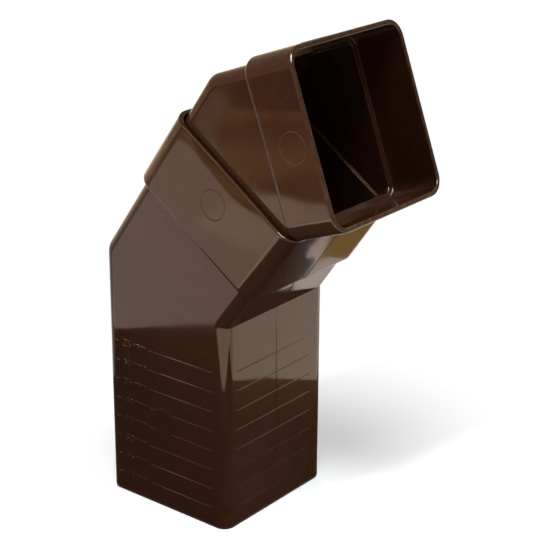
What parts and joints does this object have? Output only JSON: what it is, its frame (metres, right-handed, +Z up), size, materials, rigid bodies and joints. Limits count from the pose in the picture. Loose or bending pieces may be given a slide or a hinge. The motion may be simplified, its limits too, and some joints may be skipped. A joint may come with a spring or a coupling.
{
  "type": "downspout elbow",
  "caption": "Square downpipe offset elbow in glossy brown plastic: a long spigot with a raised cutting scale, mitred bends pushed together at a socket, and an open socket at the top.",
  "frame": {"origin": "centre of the lower spigot's open foot, on the plane that it stands on", "axes": "+Z up the lower spigot, +X the way both bends lean, -Y the face with the numbered cutting scale"},
  "size_m": [0.1196, 0.0704, 0.207],
  "materials": {
    "brown_plastic": "glossy moulded rigid plastic"
  },
  "bodies": {
    "root": {"lower_bend": "brown_plastic", "upper_bend": "brown_plastic"}
  },
  "joints": []
}
